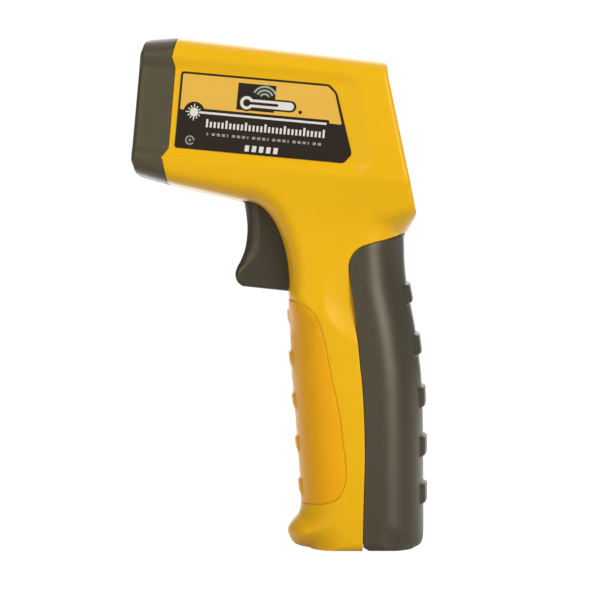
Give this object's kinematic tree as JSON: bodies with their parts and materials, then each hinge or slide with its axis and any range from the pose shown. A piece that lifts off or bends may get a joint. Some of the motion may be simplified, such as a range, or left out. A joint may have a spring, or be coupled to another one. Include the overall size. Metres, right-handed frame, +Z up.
{
  "type": "infrared thermometer",
  "caption": "Pistol-type infrared thermometer: two-part housing, nose cap with lens and laser port, pull trigger, rear display with keys, rubber rear grip and hinged battery door.",
  "frame": {"origin": "middle of the overall length and width, at the level of the grip's flat base", "axes": "+Z up, from the base to the barrel; +X towards the display end and the back of the grip; the muzzle points along -X, tilted 7 degrees up; +Y across, to the instrument's right side"},
  "size_m": [0.09, 0.043, 0.1551],
  "materials": {
    "yellow_housing": "fine moulded satin texture, saturated amber yellow",
    "yellow_door": "slightly coarser moulded texture, a shade more orange",
    "charcoal_cap": "satin warm charcoal",
    "charcoal_grip": "soft-touch warm charcoal rubber",
    "charcoal_trigger": "satin warm charcoal",
    "printed_label": "printed film, orange over black",
    "display_frame": "satin black",
    "clear_window": "clear polished",
    "lcd_glass": "grey-green liquid crystal panel",
    "key_rubber": "matt silicone rubber",
    "key_accent": "matt silicone rubber, orange",
    "lens_plastic": "translucent infrared lens plastic",
    "circuit_board": "green solder mask",
    "black_plastic": "satin black",
    "battery_wrap": "printed metal can, no marks",
    "lead_red": "red insulated wire",
    "lead_black": "black insulated wire",
    "bright_steel": "zinc-plated steel",
    "brass_barrel": "turned brass",
    "tube_aluminium": "turned aluminium"
  },
  "bodies": {
    "housing": {"housing_left": "yellow_housing", "housing_right": "yellow_housing", "nose_cap": "charcoal_cap", "rear_grip": "charcoal_grip", "trigger_spring": "bright_steel", "trigger_switch": "black_plastic", "switch_board": "circuit_board", "lens_tube": "tube_aluminium", "lens_retaining_ring": "black_plastic", "ir_lens": "lens_plastic", "thermopile_sensor": "bright_steel", "sensor_board": "circuit_board", "laser_module": "brass_barrel", "laser_window": "clear_window", "display_bezel": "display_frame", "lcd_window": "clear_window", "lcd_module": "lcd_glass", "keypad_mat": "key_rubber", "main_board": "circuit_board", "main_chip": "black_plastic", "buzzer": "black_plastic", "battery": "battery_wrap", "battery_tray": "black_plastic", "battery_snap": "black_plastic", "battery_lead_red": "lead_red", "battery_lead_black": "lead_black", "label_left": "printed_label", "label_right": "printed_label", "trigger_pin": "bright_steel", "battery_door_pin": "bright_steel", "housing_screw_1": "bright_steel", "housing_screw_2": "bright_steel", "housing_screw_3": "bright_steel", "housing_screw_4": "bright_steel", "housing_screw_5": "bright_steel"},
    "trigger": {"trigger": "charcoal_trigger"},
    "battery_door": {"battery_door": "yellow_door"},
    "switch_plunger": {"switch_plunger": "key_accent"},
    "button_left": {"button_left": "key_rubber"},
    "button_mode": {"button_mode": "key_accent"},
    "button_right": {"button_right": "key_rubber"}
  },
  "joints": [
    {"name": "trigger_pull", "type": "hinge", "parent": "housing", "child": "trigger", "pos_m": [-0.0057, 0, 0.1092], "axis": [0, -1, 0], "range_deg": [0, 9], "stiffness_Nm_per_rad": 0.15, "springref_deg": -17.19, "deforming": ["trigger_spring"]},
    {"name": "switch_press", "type": "slide", "parent": "housing", "child": "switch_plunger", "axis": [1, 0, 0], "range_m": [0, 0.0015]},
    {"name": "battery_door_hinge", "type": "hinge", "parent": "housing", "child": "battery_door", "pos_m": [0.0071, 0, 0.0151], "axis": [0, -1, 0], "range_deg": [0, 60]},
    {"name": "button_left_press", "type": "slide", "parent": "housing", "child": "button_left", "axis": [-0.9783, 0, -0.2071], "range_m": [0, 0.0008], "stiffness_N_per_m": 400, "springref_m": -0.001},
    {"name": "button_mode_press", "type": "slide", "parent": "housing", "child": "button_mode", "axis": [-0.9783, 0, -0.2071], "range_m": [0, 0.0008], "stiffness_N_per_m": 400, "springref_m": -0.001},
    {"name": "button_right_press", "type": "slide", "parent": "housing", "child": "button_right", "axis": [-0.9783, 0, -0.2071], "range_m": [0, 0.0008], "stiffness_N_per_m": 400, "springref_m": -0.001}
  ],
  "couplings": [
    {"joint": "switch_press", "follows": "trigger_pull", "m_per_rad": 0.009}
  ]
}
